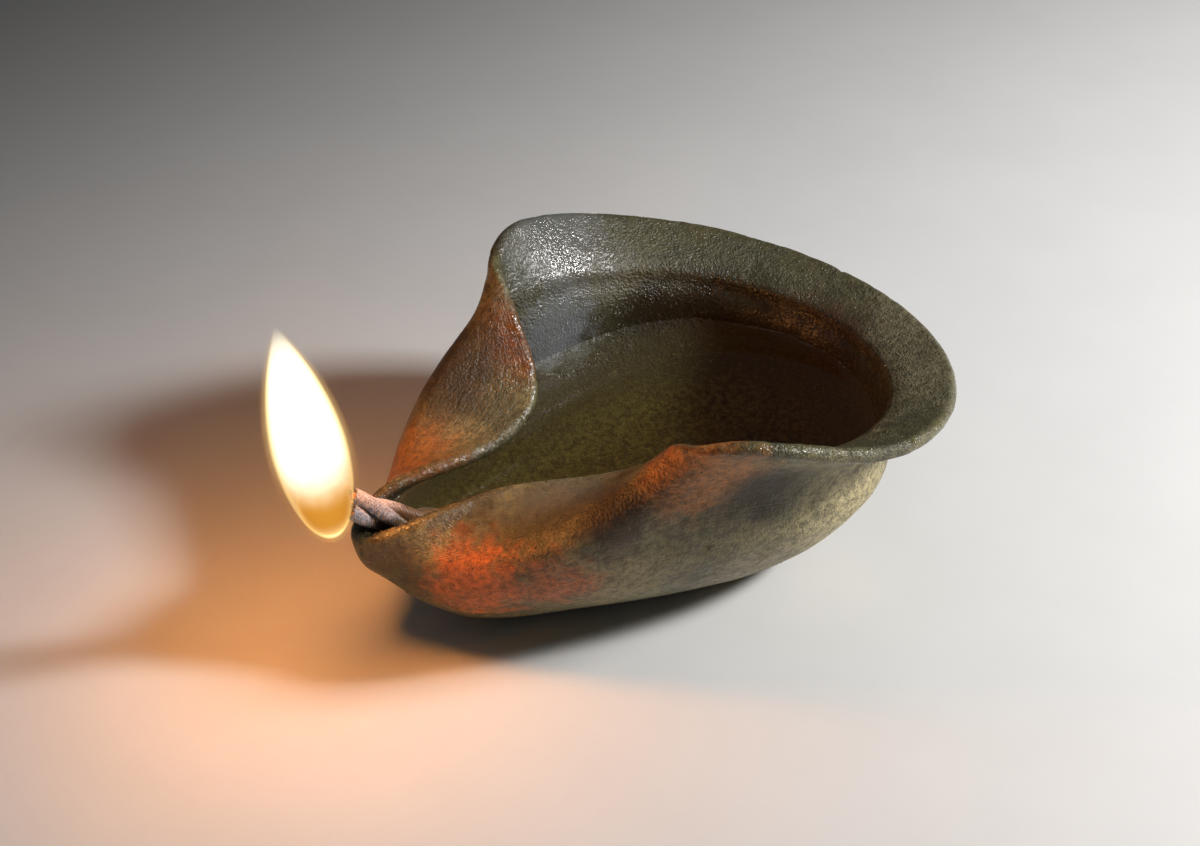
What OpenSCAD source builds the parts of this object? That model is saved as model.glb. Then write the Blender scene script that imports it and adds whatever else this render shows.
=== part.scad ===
// Pinched clay saucer lamp with oil, a twisted wick and its flame.
// The bowl is thrown on a wheel as a round saucer with a flared rim, and its front is then
// pinched: both sides are folded inward until they leave a narrow open spout.
// Frame: millimetres, +Z up, the spout points to -X, the origin is the middle of the foot
// on the table, and the XZ plane is the plane of symmetry.

/* [Thrown bowl] */
// Radius of the flared rim at its lip
rim_r = 49.5; // [46:0.5:51]
// Height of the lip at the back of the bowl
rim_h = 35; // [33:0.5:38]
// Radius of the neck, the groove where the rim starts to flare
neck_r = 34; // [32:0.5:36]
// Height of the neck
neck_h = 29; // [27:0.5:30]
// Radius of the shoulder, the widest part of the wall
shoulder_r = 38; // [36:0.5:39]
// Height of the shoulder
shoulder_h = 20; // [18:0.5:22]
// Radius of the belly, where the wall turns under
belly_r = 34; // [32:0.5:36]
// Height of the belly
belly_h = 12; // [10:0.5:14]
// Radius of the foot, around the small flat that the lamp rests on
foot_r = 20; // [17:0.5:23]
// Distance from the middle of the foot to the back of the lip
back_x = 60.5; // [59:0.5:62]
// How much the whole profile grows in height for each millimetre towards the spout
rise = 0.0067; // [0.005:0.0001:0.008]

/* [Clay] */
// Thickness of the floor
floor_t = 5; // [4:0.1:6]
// Thickness of the wall
wall_t = 3.6; // [3:0.1:4]
// Thickness of the lip
lip_t = 3; // [2.4:0.1:3.2]

/* [Oil] */
// Height of the oil's surface above the table
oil_h = 27; // [20:0.5:27.5]
// Gap between the oil solid and the clay or the wick
oil_gap = 0.4; // [0.3:0.05:0.8]

/* [Wick] */
// Diameter of the whole twisted wick
wick_d = 6.4; // [5:0.1:6.4]
// Length of pale yarn, from its end in the oil to the charred end
yarn_length = 40; // [34:0.5:41]
// Length of the charred end
char_length = 8; // [5:0.5:9]
// Slope of the wick in the spout, in degrees above the table
wick_slope = 38; // [36:0.5:40]
// Length of yarn in which the plies make one full turn
twist_pitch = 42; // [34:1:60]

/* [Flame] */
// Height of the flame along its own axis
flame_length = 50; // [42:1:54]
// Greatest radius of the flame
flame_r = 7; // [6:0.1:7.4]
// Lean of the flame away from the spout, in degrees
flame_lean = 10; // [8:0.5:12]

/* [Hidden] */

// ---- Ring stations ----
// Every ring round the bowl has 11 stations on the +Y side, and their mirror images.
// The first four lie on the thrown circle, the other seven follow the pinched front.
STATION_STEP = 28;
THROWN_ANGLES = [0, STATION_STEP, 2 * STATION_STEP, 82];
// A smooth curve through a ring lies inside its stations, so a circle's stations lie outside it.
STATION_SCALE = 3 / (2 + cos(STATION_STEP));

// The pinched stations in order: cheek, corner, fold, throat, spout root, spout, tip
LIP_PINCH = [[-4, 46, 55], [-14, 37, 54], [-13, 27, 40], [-15, 13, 28], [-38, 3, 31],
             [-55, 8, 33], [-69, 0, 25]];
NECK_PINCH = [[-3, 34, 40], [-16, 32, 41], [-27, 31, 38], [-37, 26, 32], [-46, 16, 27],
              [-56, 9, 24], [-66, 0, 20]];
BELLY_PINCH = [[-5, 37, 19], [-20, 34, 19], [-33, 29, 18], [-45, 22, 16], [-53, 15, 14],
               [-57, 8, 15], [-60, 0, 15]];
FOOT_PINCH = [[0, 19, 0], [-11, 16, 0], [-23, 12, 0], [-32, 9, 0], [-40, 6, 0],
              [-44, 3, 0], [-45, 0, 0]];
// On the pinched front the shoulder lies this far from the belly to the neck
SHOULDER_BLEND = 0.55;
// The floor ring is the foot ring brought this far in to the middle
FLOOR_BLEND = 0.5;

function thrown(r, h) =
    [for (a = THROWN_ANGLES)
        let (x = back_x - rim_r + STATION_SCALE * r * cos(a))
        [x, STATION_SCALE * r * sin(a), h * (1 + rise * (back_x - x))]];

function mirrored(half) =
    concat(half, [for (i = [len(half) - 2 : -1 : 1]) [half[i][0], -half[i][1], half[i][2]]]);

function mirrored_values(half) = concat(half, [for (i = [len(half) - 2 : -1 : 1]) half[i]]);

function ring(r, h, pinch) = mirrored(concat(thrown(r, h), pinch));

function blend(a, b, k) = [for (i = [0 : len(a) - 1]) a[i] * (1 - k) + b[i] * k];

LIP = ring(rim_r, rim_h, LIP_PINCH);
NECK = ring(neck_r, neck_h, NECK_PINCH);
SHOULDER = ring(shoulder_r, shoulder_h, blend(BELLY_PINCH, NECK_PINCH, SHOULDER_BLEND));
BELLY = ring(belly_r, belly_h, BELLY_PINCH);
FOOT = ring(foot_r, 0, FOOT_PINCH);
MIDDLE = [for (p = FOOT) [0, 0, 0]];
FLOOR = blend(MIDDLE, FOOT, FLOOR_BLEND);
// One more ring beyond each end lets the surface reach the middle and the lip
RINGS = [2 * MIDDLE - FLOOR, MIDDLE, FLOOR, FOOT, BELLY, SHOULDER, NECK, LIP, 2 * LIP - NECK];

// ---- Smooth surface through the rings ----
AROUND = len(LIP);
// Steps between two stations round a ring, and between two rings
FINE_U = 5;
FINE_V = 3;
LAST_V = (len(RINGS) - 3) * FINE_V;

function weights(t) =
    [(1 - t) ^ 3, 3 * t ^ 3 - 6 * t ^ 2 + 4, -3 * t ^ 3 + 3 * t ^ 2 + 3 * t + 1, t ^ 3] / 6;

function mixed_ring(i, w) =
    w[0] * RINGS[i] + w[1] * RINGS[i + 1] + w[2] * RINGS[i + 2] + w[3] * RINGS[i + 3];

function loop_points(r) =
    [for (i = [0 : AROUND - 1])
        for (k = [0 : FINE_U - 1])
            let (w = weights(k / FINE_U))
            w[0] * r[(i + AROUND - 1) % AROUND] + w[1] * r[i]
            + w[2] * r[(i + 1) % AROUND] + w[3] * r[(i + 2) % AROUND]];

// Ring number v of the surface, from 0 in the middle of the foot to LAST_V at the lip
function surface_ring(v) =
    let (span = min(floor(v / FINE_V), len(RINGS) - 4))
    loop_points(mixed_ring(span, weights(v / FINE_V - span)));

SURFACE = [for (v = [0 : LAST_V]) surface_ring(v)];
COLUMNS = len(SURFACE[0]);

function unit(v) = v / norm(v);

function outward(v, u) =
    v == 0
    ? [0, 0, -1]
    : unit(cross(
        SURFACE[v][(u + 1) % COLUMNS] - SURFACE[v][(u + COLUMNS - 1) % COLUMNS],
        SURFACE[min(v + 1, LAST_V)][u] - SURFACE[v - 1][u]));

function smooth(k) = k * k * (3 - 2 * k);

// Share of the clay that lies outside the surface, at each station of the upper wall. The fold
// is creased sharply inside and rounded outside, so all of its clay lies outside.
OUTSIDE_SHARE = mirrored_values([0.5, 0.5, 0.5, 0.5, 0.7, 1, 1, 1, 0.6, 0.4, 0.4]);
SHARE_ROUND = loop_points(OUTSIDE_SHARE);
BELLY_V = 3 * FINE_V;
NECK_V = LAST_V - FINE_V;

function outside_offset(v, u) =
    clay_t(v) * SHARE_ROUND[u] * smooth(min(1, max(0, (v - BELLY_V) / (NECK_V - BELLY_V))));

function clay_t(v) =
    let (k = v / LAST_V)
    k < 0.5
    ? floor_t + (wall_t - floor_t) * k * 2
    : wall_t + (lip_t - wall_t) * (k - 0.5) * 2;

function outer_ring(v) =
    [for (u = [0 : COLUMNS - 1]) SURFACE[v][u] + outward(v, u) * outside_offset(v, u)];

function inner_ring(v, gap) =
    [for (u = [0 : COLUMNS - 1])
        SURFACE[v][u] - outward(v, u) * (clay_t(v) + gap - outside_offset(v, u))];

// The lip is rounded over from the outside, at 90 degrees, to the inside, at -90
function lip_ring(angle) =
    [for (u = [0 : COLUMNS - 1])
        let (along = unit(SURFACE[LAST_V][u] - SURFACE[LAST_V - 1][u]),
             middle = outside_offset(LAST_V, u) - lip_t / 2)
        SURFACE[LAST_V][u] + outward(LAST_V, u) * (middle + lip_t / 2 * sin(angle))
        + along * lip_t / 2 * (cos(angle) - 1)];

// Closed skin over a stack of rings with one point at each end
function skin_faces(rings) =
    let (last = rings * COLUMNS + 1)
    concat(
        [for (u = [0 : COLUMNS - 1]) [0, 1 + u, 1 + (u + 1) % COLUMNS]],
        [for (r = [0 : rings - 2])
            for (u = [0 : COLUMNS - 1])
                let (a = 1 + r * COLUMNS + u, b = 1 + r * COLUMNS + (u + 1) % COLUMNS)
                each [[a, a + COLUMNS, b + COLUMNS], [a, b + COLUMNS, b]]],
        [for (u = [0 : COLUMNS - 1])
            [last, last - COLUMNS + (u + 1) % COLUMNS, last - COLUMNS + u]]);

function flat(rings) = [for (r = rings) each r];

LIP_ANGLES = [90, 45, 0, -45, -90];

module bowl() {
    stack = concat(
        [for (v = [1 : LAST_V - 1]) outer_ring(v)],
        [for (a = LIP_ANGLES) lip_ring(a)],
        [for (v = [LAST_V - 1 : -1 : 1]) inner_ring(v, 0)]);
    color([0.25, 0.22, 0.16])
        polyhedron(
            points = concat([[0, 0, 0]], flat(stack), [[0, 0, floor_t]]),
            faces = skin_faces(len(stack)));
}

// ---- Wick ----
// The wick lies straight in the spout. Its axis passes through the mouth point, and local +Z
// runs along it towards the flame.
MOUTH = [-65, 0, 34.8];
// The pale yarn ends this far outside the mouth point
YARN_OUTSIDE = 1;
PLIES = 3;
PLY_SIDES = 10;
PLY_RINGS = 36;
CHAR_RINGS = 8;
PLY_GAP = 0.04;
// Three touching plies fill the wick: ply radius and the radius of its helix
PLY_R = wick_d / 2 / (1 + 2 / sqrt(3));
HELIX_R = wick_d / 2 - PLY_R;
CHAR_TAPER = 0.25;

module along_wick() {
    translate(MOUTH) rotate([0, wick_slope - 90, 0]) children();
}

function helix_point(ply, z) =
    let (a = 360 * (z / twist_pitch + ply / PLIES))
    [HELIX_R * cos(a), HELIX_R * sin(a), z];

function ply_ring(ply, z, r) =
    [for (s = [0 : PLY_SIDES - 1])
        let (a = 360 * s / PLY_SIDES)
        helix_point(ply, z) + [r * cos(a), r * sin(a), 0]];

// Tube with flat ends over rings of PLY_SIDES points
module tube(rings) {
    count = len(rings);
    n = PLY_SIDES;
    polyhedron(
        points = flat(rings),
        faces = concat(
            [[for (s = [0 : n - 1]) s]],
            [for (r = [0 : count - 2])
                for (s = [0 : n - 1])
                    let (a = r * n + s, b = r * n + (s + 1) % n)
                    each [[a, a + n, b + n], [a, b + n, b]]],
            [[for (s = [n - 1 : -1 : 0]) (count - 1) * n + s]]));
}

module ply(number) {
    start = YARN_OUTSIDE - yarn_length;
    color([0.72, 0.66, 0.66])
        along_wick()
        tube([for (i = [0 : PLY_RINGS])
            ply_ring(number, start + yarn_length * i / PLY_RINGS, PLY_R - PLY_GAP)]);
}

// The burnt ends of the plies, each a little thinner towards its tip
module charred_end() {
    color([0.12, 0.07, 0.05])
        along_wick()
        for (number = [0 : PLIES - 1])
            tube([for (i = [0 : CHAR_RINGS])
                ply_ring(number, YARN_OUTSIDE + char_length * i / CHAR_RINGS,
                    (PLY_R - PLY_GAP) * (1 - CHAR_TAPER * i / CHAR_RINGS))]);
}

// Straight round space that holds the wick, from z0 to z1 along it
module wick_space(gap, z0, z1) {
    along_wick() translate([0, 0, z0]) cylinder(r = wick_d / 2 + gap, h = z1 - z0, $fn = 48);
}

// ---- Oil ----
// The oil fills each column of the inner wall from the floor up to where it meets the surface
OIL_STEPS = 10;
OIL_COLUMN_STEP = 2;
OIL_COLUMNS = COLUMNS / OIL_COLUMN_STEP;
// Travel of the wick that the oil leaves room for
WICK_TRAVEL = 12;

INSIDE = [for (v = [0 : LAST_V]) inner_ring(v, oil_gap)];

// Point of one column at a place s that need not be a whole step
function inside_at(u, s) =
    let (v = min(floor(s), LAST_V - 1))
    INSIDE[v][u] * (1 - s + v) + INSIDE[v + 1][u] * (s - v);

// Place in a column where it comes up through the oil's surface
function shore(u, v = 0) =
    INSIDE[v + 1][u][2] < oil_h
    ? shore(u, v + 1)
    : v + (oil_h - INSIDE[v][u][2]) / (INSIDE[v + 1][u][2] - INSIDE[v][u][2]);

module oil_body() {
    n = OIL_COLUMNS;
    stack = [for (i = [1 : OIL_STEPS])
        [for (c = [0 : n - 1])
            let (u = c * OIL_COLUMN_STEP)
            inside_at(u, shore(u) * i / OIL_STEPS)]];
    top = 1 + (OIL_STEPS - 1) * n;
    // The flat surface is a row of strips across the bowl, from each shore point to its mirror image
    surface = [for (c = [0 : n / 2 - 1])
        let (a = top + c, b = top + c + 1, d = top + (n - c) % n, e = top + n - c - 1)
        each (c == 0 ? [[a, e, b]] : c == n / 2 - 1 ? [[a, d, b]] : [[a, d, e], [a, e, b]])];
    polyhedron(
        points = concat([INSIDE[0][0]], flat(stack)),
        faces = concat(
            [for (c = [0 : n - 1]) [0, 1 + c, 1 + (c + 1) % n]],
            [for (r = [0 : OIL_STEPS - 2])
                for (c = [0 : n - 1])
                    let (a = 1 + r * n + c, b = 1 + r * n + (c + 1) % n)
                    each [[a, a + n, b + n], [a, b + n, b]]],
            surface));
}

module oil() {
    color([0.3, 0.28, 0.12, 0.5])
        difference() {
            oil_body();
            wick_space(oil_gap, -yarn_length - oil_gap, WICK_TRAVEL);
        }
}

// ---- Flame ----
// Foot of the flame just outside the spout's tip
FLAME_FOOT = [-69, 0, 29.3];
FLAME_STEPS = 24;
// Share of the flame's length below its widest place
FLAME_WIDE_AT = 0.42;
// How much the flame narrows towards its tip beyond a round arch
FLAME_TAPER = 0.1;
// Radius and height of the dim heart, and how far it sits above the foot of the flame
CORE_SIZE = [4.6, 15];
CORE_LIFT = 1.5;
FLAME_GAP = 0.1;
$fn = 48;

// Outline of a drop: a round foot, then a long taper to a point
function drop(r, length) =
    concat(
        [for (i = [0 : FLAME_STEPS / 2])
            let (a = 90 * i / (FLAME_STEPS / 2))
            [r * sin(a), length * FLAME_WIDE_AT * (1 - cos(a))]],
        [for (i = [1 : FLAME_STEPS])
            let (k = i / FLAME_STEPS)
            [r * (1 - k) * (1 + k) * (1 - FLAME_TAPER * k),
             length * (FLAME_WIDE_AT + (1 - FLAME_WIDE_AT) * k)]]);

module in_flame() {
    translate(FLAME_FOOT) rotate([0, -flame_lean, 0]) children();
}

module core_shape() {
    in_flame() translate([0, 0, CORE_LIFT]) rotate_extrude() polygon(drop(CORE_SIZE[0], CORE_SIZE[1]));
}

module flame() {
    color([1, 0.85, 0.45, 0.6])
        difference() {
            in_flame() rotate_extrude() polygon(drop(flame_r, flame_length));
            core_shape();
            wick_space(FLAME_GAP, -yarn_length, YARN_OUTSIDE + char_length + FLAME_GAP);
        }
}

module flame_core() {
    color([0.9, 0.4, 0.1, 0.6])
        difference() {
            core_shape();
            wick_space(FLAME_GAP, -yarn_length, YARN_OUTSIDE + char_length + FLAME_GAP);
        }
}

bowl();
oil();
ply(0);  // wick_ply_1
ply(1);  // wick_ply_2
ply(2);  // wick_ply_3
charred_end();
flame();
flame_core();
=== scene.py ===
"""Looks of a pinched clay saucer lamp with its oil, twisted wick and flame.

Everything is in metres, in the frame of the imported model: +Z up, the spout points to -X, and the
origin is the middle of the foot on the table. The clay follows the same rings of stations that
shape the bowl in CAD, at a finer step, and carries the marks of the wheel, the hand and use.
"""

import logging
import math
from dataclasses import dataclass, field
from enum import Enum

import bpy
import numpy as np
from bpy.types import Material, Node, NodeSocket, NodeTree, Object
from mathutils import Matrix, Vector


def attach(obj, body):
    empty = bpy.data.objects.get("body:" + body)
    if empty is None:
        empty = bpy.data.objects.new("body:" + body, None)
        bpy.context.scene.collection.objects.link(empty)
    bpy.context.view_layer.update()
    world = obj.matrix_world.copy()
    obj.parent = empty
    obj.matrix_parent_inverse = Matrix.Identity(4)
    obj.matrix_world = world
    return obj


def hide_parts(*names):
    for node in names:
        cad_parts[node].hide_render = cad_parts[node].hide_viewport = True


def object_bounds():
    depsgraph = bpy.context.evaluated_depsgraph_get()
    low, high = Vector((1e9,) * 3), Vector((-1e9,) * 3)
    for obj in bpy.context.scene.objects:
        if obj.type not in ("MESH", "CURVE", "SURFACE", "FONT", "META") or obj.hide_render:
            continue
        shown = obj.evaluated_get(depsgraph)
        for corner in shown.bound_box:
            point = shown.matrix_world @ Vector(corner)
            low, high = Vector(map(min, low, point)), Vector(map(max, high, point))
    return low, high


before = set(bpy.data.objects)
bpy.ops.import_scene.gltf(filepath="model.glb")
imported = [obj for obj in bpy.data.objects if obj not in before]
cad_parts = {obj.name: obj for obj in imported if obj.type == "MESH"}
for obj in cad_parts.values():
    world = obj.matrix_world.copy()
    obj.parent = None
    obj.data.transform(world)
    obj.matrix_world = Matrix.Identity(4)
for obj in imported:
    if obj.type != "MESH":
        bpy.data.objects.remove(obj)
CAD_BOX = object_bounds()

MM = 0.001
LAMP = "lamp"
WICK = "wick"
TURN = 2 * math.pi
LOG = logging.getLogger("clay_lamp")

WICK_MOUTH = Vector((-65, 0, 34.8)) * MM
WICK_SLOPE = math.radians(38)
FLAME_FOOT = Vector((-69, 0, 29.3)) * MM
FLAME_LEAN = math.radians(10)

Colour = tuple[float, float, float]
Value = NodeSocket | Material | float | str | tuple


# ---- node building


class NodeSheet:
    """Short calls that fill one node tree."""

    def __init__(self, tree: NodeTree) -> None:
        """Keeps the tree that the calls fill."""
        self.tree = tree

    def put(self, kind: str, inputs: dict | None = None, **settings: Value) -> Node:
        """Adds a node.

        Args:
            kind: The node's type name.
            inputs: Socket name or number, to a value or to the socket that feeds it.
            settings: Properties of the node itself.

        Returns:
            The new node.
        """
        node = self.tree.nodes.new(kind)
        for name, value in settings.items():
            setattr(node, name, value)
        self.dress(node, inputs or {})
        return node

    def dress(self, node: Node, inputs: dict) -> None:
        """Feeds several of a node's sockets, by their name or number."""
        for key, value in inputs.items():
            self.feed(node.inputs[key], value)

    def feed(self, socket: NodeSocket, value: Value) -> None:
        """Links a socket to another one, or sets its own value."""
        if isinstance(value, NodeSocket):
            self.tree.links.new(value, socket)
        elif isinstance(value, tuple) and socket.type == "RGBA" and len(value) == 3:
            socket.default_value = (*value, 1)
        else:
            socket.default_value = value

    def calc(self, operation: str, *values: Value) -> NodeSocket:
        """Returns the result of a Math node on values or sockets."""
        return self.put("ShaderNodeMath", dict(enumerate(values)), operation=operation).outputs[0]

    def times(self, first: Value, second: Value) -> NodeSocket:
        """Returns the product of two values or sockets."""
        return self.calc("MULTIPLY", first, second)

    def minus(self, first: Value, second: Value) -> NodeSocket:
        """Returns the first value or socket less the second."""
        return self.calc("SUBTRACT", first, second)

    def fit(self, value: Value, factor: Value, rest: Value) -> NodeSocket:
        """Returns a value times a factor, plus the rest."""
        return self.calc("MULTIPLY_ADD", value, factor, rest)

    def arrow(self, operation: str, *values: Value) -> NodeSocket:
        """Returns the vector that a Vector Math node makes of values or sockets."""
        return self.put("ShaderNodeVectorMath", dict(enumerate(values)), operation=operation).outputs[0]

    def scaled(self, vector: Value, factor: Value) -> NodeSocket:
        """Returns a vector times a factor."""
        node = self.put("ShaderNodeVectorMath", {0: vector, "Scale": factor}, operation="SCALE")
        return node.outputs[0]

    def noise(self, place: Value, scale: Value, detail: float = 3, rough: float = 0.55) -> NodeSocket:
        """Returns cloudy noise from 0 to 1, with scale in waves for each unit of place."""
        inputs = {"Vector": place, "Scale": scale, "Detail": detail, "Roughness": rough}
        return self.put("ShaderNodeTexNoise", inputs).outputs[0]

    def ease(
        self, value: Value, low: float, high: float, to_low: float = 0, to_high: float = 1
    ) -> NodeSocket:
        """Returns value taken smoothly from the range low..high to to_low..to_high."""
        inputs = {0: value, 1: low, 2: high, 3: to_low, 4: to_high}
        return self.put("ShaderNodeMapRange", inputs, interpolation_type="SMOOTHSTEP").outputs[0]

    def tint(self, share: Value, under: Value, over: Value) -> NodeSocket:
        """Returns the colour under, covered by the colour over as far as share says."""
        return self.put("ShaderNodeMix", {0: share, 6: under, 7: over}, data_type="RGBA").outputs[2]

    def rise(self, place: Value) -> NodeSocket:
        """Returns the Z part of a place."""
        return self.put("ShaderNodeSeparateXYZ", {0: place}).outputs["Z"]

    def bump(self, strength: Value, distance: float, height: Value) -> NodeSocket:
        """Returns the normal of a relief with the given height."""
        inputs = {"Strength": strength, "Distance": distance, "Height": height}
        return self.put("ShaderNodeBump", inputs).outputs[0]

    def kept(self, name: str) -> NodeSocket:
        """Returns a number kept on the mesh, in a geometry tree."""
        return self.put("GeometryNodeInputNamedAttribute", {"Name": name}, data_type="FLOAT").outputs[0]

    def chance(self, low: float, high: float, seed: int) -> NodeSocket:
        """Returns a random number for each element of a geometry tree."""
        inputs = {2: low, 3: high, "Seed": seed}
        return self.put("FunctionNodeRandomValue", inputs, data_type="FLOAT").outputs[1]

    def chances(self, low: tuple, high: tuple, seed: int) -> NodeSocket:
        """Returns a random vector for each element of a geometry tree."""
        inputs = {0: low, 1: high, "Seed": seed}
        return self.put("FunctionNodeRandomValue", inputs, data_type="FLOAT_VECTOR").outputs[0]

    def marked(self, shape: NodeSocket, name: str, value: Value) -> NodeSocket:
        """Returns a geometry whose instances keep a number by name."""
        inputs = {"Geometry": shape, "Name": name, "Value": value}
        return self.put(
            "GeometryNodeStoreNamedAttribute", inputs, data_type="FLOAT", domain="INSTANCE"
        ).outputs[0]

    def group(self, tree: NodeTree, **inputs: Value) -> Node:
        """Adds a shader node group; an underscore in an input's name stands for a space."""
        node = self.put("ShaderNodeGroup", node_tree=tree)
        self.dress(node, {name.replace("_", " "): value for name, value in inputs.items()})
        return node


class Kind(Enum):
    """Socket types of node groups."""

    NUMBER = "NodeSocketFloat"
    WHOLE = "NodeSocketInt"
    VECTOR = "NodeSocketVector"
    SHAPE = "NodeSocketGeometry"
    FINISH = "NodeSocketMaterial"


def open_tree(
    name: str, family: str, inputs: dict[str, Kind], outputs: dict[str, Kind]
) -> tuple[NodeSheet, bpy.types.bpy_prop_collection]:
    """Starts a node group with named sockets.

    Args:
        name: Name of the group.
        family: "ShaderNodeTree" or "GeometryNodeTree".
        inputs: Name and type of each input.
        outputs: Name and type of each output.

    Returns:
        The sheet that fills the group, and the sockets that its inputs come in by.
    """
    tree = bpy.data.node_groups.new(name, family)
    for label, kind in inputs.items():
        tree.interface.new_socket(label, in_out="INPUT", socket_type=kind.value)
    for label, kind in outputs.items():
        tree.interface.new_socket(label, in_out="OUTPUT", socket_type=kind.value)
    sheet = NodeSheet(tree)
    return sheet, sheet.put("NodeGroupInput").outputs


# ---- shared shader effects


class Effects:
    """Shader node groups that several finishes place with their own values."""

    def __init__(self) -> None:
        """Builds each group once."""
        self.grain = self._grain()
        self.patch = self._patch()
        self.lines = self._lines()
        self.wet = self._wet()

    @staticmethod
    def _grain() -> NodeTree:
        """Returns fired clay's grain: bump height, a mask of bright specks and a slow tone."""
        sheet, given = open_tree(
            "clay_grain",
            "ShaderNodeTree",
            {"Place": Kind.VECTOR, "Waves": Kind.NUMBER},
            {"Height": Kind.NUMBER, "Speck": Kind.NUMBER, "Tone": Kind.NUMBER},
        )
        place, waves = given["Place"], given["Waves"]
        fine = sheet.noise(place, waves, 2, 0.5)
        coarse = sheet.noise(place, sheet.times(waves, 0.32), 3, 0.55)
        cells = sheet.put("ShaderNodeTexVoronoi", {"Vector": place, "Scale": waves})
        grit = sheet.ease(cells.outputs["Distance"], 0.45, 0.1)
        height = sheet.fit(grit, 0.35, sheet.calc("ADD", fine, coarse))
        speck = sheet.ease(sheet.noise(place, sheet.times(waves, 0.8), 2, 0.5), 0.62, 0.7)
        tone = sheet.noise(place, sheet.times(waves, 0.035), 5, 0.62)
        sheet.put("NodeGroupOutput", {"Height": height, "Speck": speck, "Tone": tone})
        return sheet.tree

    @staticmethod
    def _patch() -> NodeTree:
        """Returns the mask of a ragged patch around one place on the object."""
        sheet, given = open_tree(
            "clay_patch",
            "ShaderNodeTree",
            {"Place": Kind.VECTOR, "Centre": Kind.VECTOR, "Reach": Kind.NUMBER, "Ragged": Kind.NUMBER},
            {"Mask": Kind.NUMBER},
        )
        ends = {0: given["Place"], 1: given["Centre"]}
        away = sheet.put("ShaderNodeVectorMath", ends, operation="DISTANCE").outputs["Value"]
        share = sheet.calc("DIVIDE", away, given["Reach"])
        cloud = sheet.noise(given["Place"], 260, 5, 0.65)
        swing = sheet.times(sheet.minus(cloud, 0.5), given["Ragged"])
        edge = sheet.calc("ADD", share, swing)
        sheet.put("NodeGroupOutput", {"Mask": sheet.ease(edge, 1.15, 0.35)})
        return sheet.tree

    @staticmethod
    def _lines() -> NodeTree:
        """Returns the fine turning lines that run round a thrown wall."""
        sheet, given = open_tree(
            "turning_lines",
            "ShaderNodeTree",
            {"Place": Kind.VECTOR, "Profile": Kind.NUMBER, "Lines": Kind.NUMBER},
            {"Height": Kind.NUMBER},
        )
        along = sheet.times(given["Profile"], given["Lines"])
        drift = sheet.scaled(given["Place"], 9)
        spot = sheet.put("ShaderNodeCombineXYZ", {0: along}).outputs[0]
        height = sheet.noise(sheet.arrow("ADD", spot, drift), 1, 3, 0.6)
        sheet.put("NodeGroupOutput", {"Height": height})
        return sheet.tree

    @staticmethod
    def _wet() -> NodeTree:
        """Returns where oil has crept over the clay: just above a level, with runs and gaps."""
        sheet, given = open_tree(
            "oil_creep",
            "ShaderNodeTree",
            {"Place": Kind.VECTOR, "Level": Kind.NUMBER, "Reach": Kind.NUMBER},
            {"Mask": Kind.NUMBER},
        )
        above = sheet.minus(sheet.rise(given["Place"]), given["Level"])
        climb = sheet.calc("DIVIDE", above, given["Reach"])
        runs = sheet.noise(given["Place"], 90, 4, 0.6)
        sheet.put("NodeGroupOutput", {"Mask": sheet.ease(sheet.minus(climb, runs), 0.45, -0.25)})
        return sheet.tree


# ---- finishes


def new_material(name: str) -> tuple[Material, NodeSheet, Node]:
    """Starts a material.

    Returns:
        The material, the sheet of its tree, and its Principled BSDF, linked to the output.
    """
    material = bpy.data.materials.new(name)
    material.use_nodes = True
    material.node_tree.nodes.clear()
    sheet = NodeSheet(material.node_tree)
    skin = sheet.put("ShaderNodeBsdfPrincipled")
    sheet.put("ShaderNodeOutputMaterial", {"Surface": skin.outputs[0]})
    return material, sheet, skin


def object_place(sheet: NodeSheet) -> NodeSocket:
    """Returns the Object coordinates of the shaded point, in metres."""
    return sheet.put("ShaderNodeTexCoord").outputs["Object"]


def mesh_value(sheet: NodeSheet, name: str) -> NodeSocket:
    """Returns a number kept on the mesh under a name."""
    return sheet.put("ShaderNodeAttribute", attribute_name=name).outputs["Fac"]


@dataclass(frozen=True)
class Patch:
    """A ragged patch of another colour on the clay, used both for its own colour and for painted light,
    shade and sheen.
    """

    centre: tuple[float, float, float]
    reach: float
    colour: Colour
    strength: float = 0.9
    ragged: float = 1.1

    def mask(self, sheet: NodeSheet, effects: Effects, place: NodeSocket) -> NodeSocket:
        """Returns the patch's mask at a place, 1 in its middle."""
        inputs = {"Place": place, "Centre": self.centre, "Reach": self.reach, "Ragged": self.ragged}
        return sheet.group(effects.patch, **inputs).outputs["Mask"]


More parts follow.
